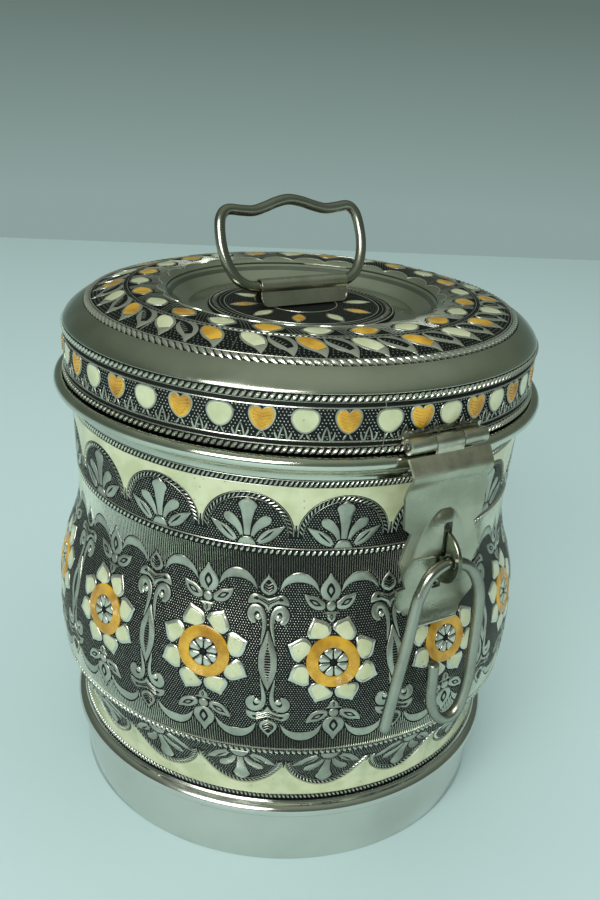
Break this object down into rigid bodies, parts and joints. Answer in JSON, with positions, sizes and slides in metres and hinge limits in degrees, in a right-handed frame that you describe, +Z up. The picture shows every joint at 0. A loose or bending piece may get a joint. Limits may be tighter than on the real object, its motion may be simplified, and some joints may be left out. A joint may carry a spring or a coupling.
{
  "type": "hinged storage container",
  "caption": "Round embossed sheet-metal container with a hinged lid, folding wire handle, slotted hasp, eye lug and a hanging wire hook that locks it.",
  "frame": {"origin": "centre of the flat underside", "axes": "+Z up along the round body's axis, -Y towards the hasp, +Y towards the lid hinge"},
  "size_m": [0.202, 0.2174, 0.2497],
  "materials": {
    "oxidised": "embossed, darkened ground with polished relief and enamelled motifs",
    "polished": "polished sheet with light tarnish",
    "wire": "polished round wire"
  },
  "bodies": {
    "container": {"body_shell": "oxidised", "base_ring": "polished", "bottom_plate": "polished", "rim_collar": "polished", "rim_wire": "wire", "latch_lug": "polished", "rear_hinge_strap": "polished", "rear_hinge_pin": "wire"},
    "lid": {"lid_cap": "polished", "lid_band": "oxidised", "lid_ring": "oxidised", "lid_medallion": "oxidised", "handle_bracket": "polished", "rear_hinge_lid_leaf": "polished", "hasp_hinge_leaf": "polished", "hasp_hinge_pin": "wire"},
    "handle": {"handle_bail": "wire"},
    "hasp": {"hasp_plate": "polished"},
    "hook": {"lock_hook": "wire"}
  },
  "joints": [
    {"name": "lid_open", "type": "hinge", "parent": "container", "child": "lid", "pos_m": [0, 0.0997, 0.1849], "axis": [-1, 0, 0], "range_deg": [0, 110]},
    {"name": "hasp_swing", "type": "hinge", "parent": "lid", "child": "hasp", "pos_m": [0, -0.0997, 0.1849], "axis": [-1, 0, 0], "range_deg": [0, 150]},
    {"name": "hook_swing", "type": "hinge", "parent": "container", "child": "hook", "pos_m": [0, -0.11, 0.143], "axis": [-1, 0, 0], "range_deg": [-4, 160]},
    {"name": "bail_fold", "type": "hinge", "parent": "lid", "child": "handle", "pos_m": [0, 0, 0.216], "axis": [1, 0, 0], "range_deg": [-68, 112]}
  ]
}
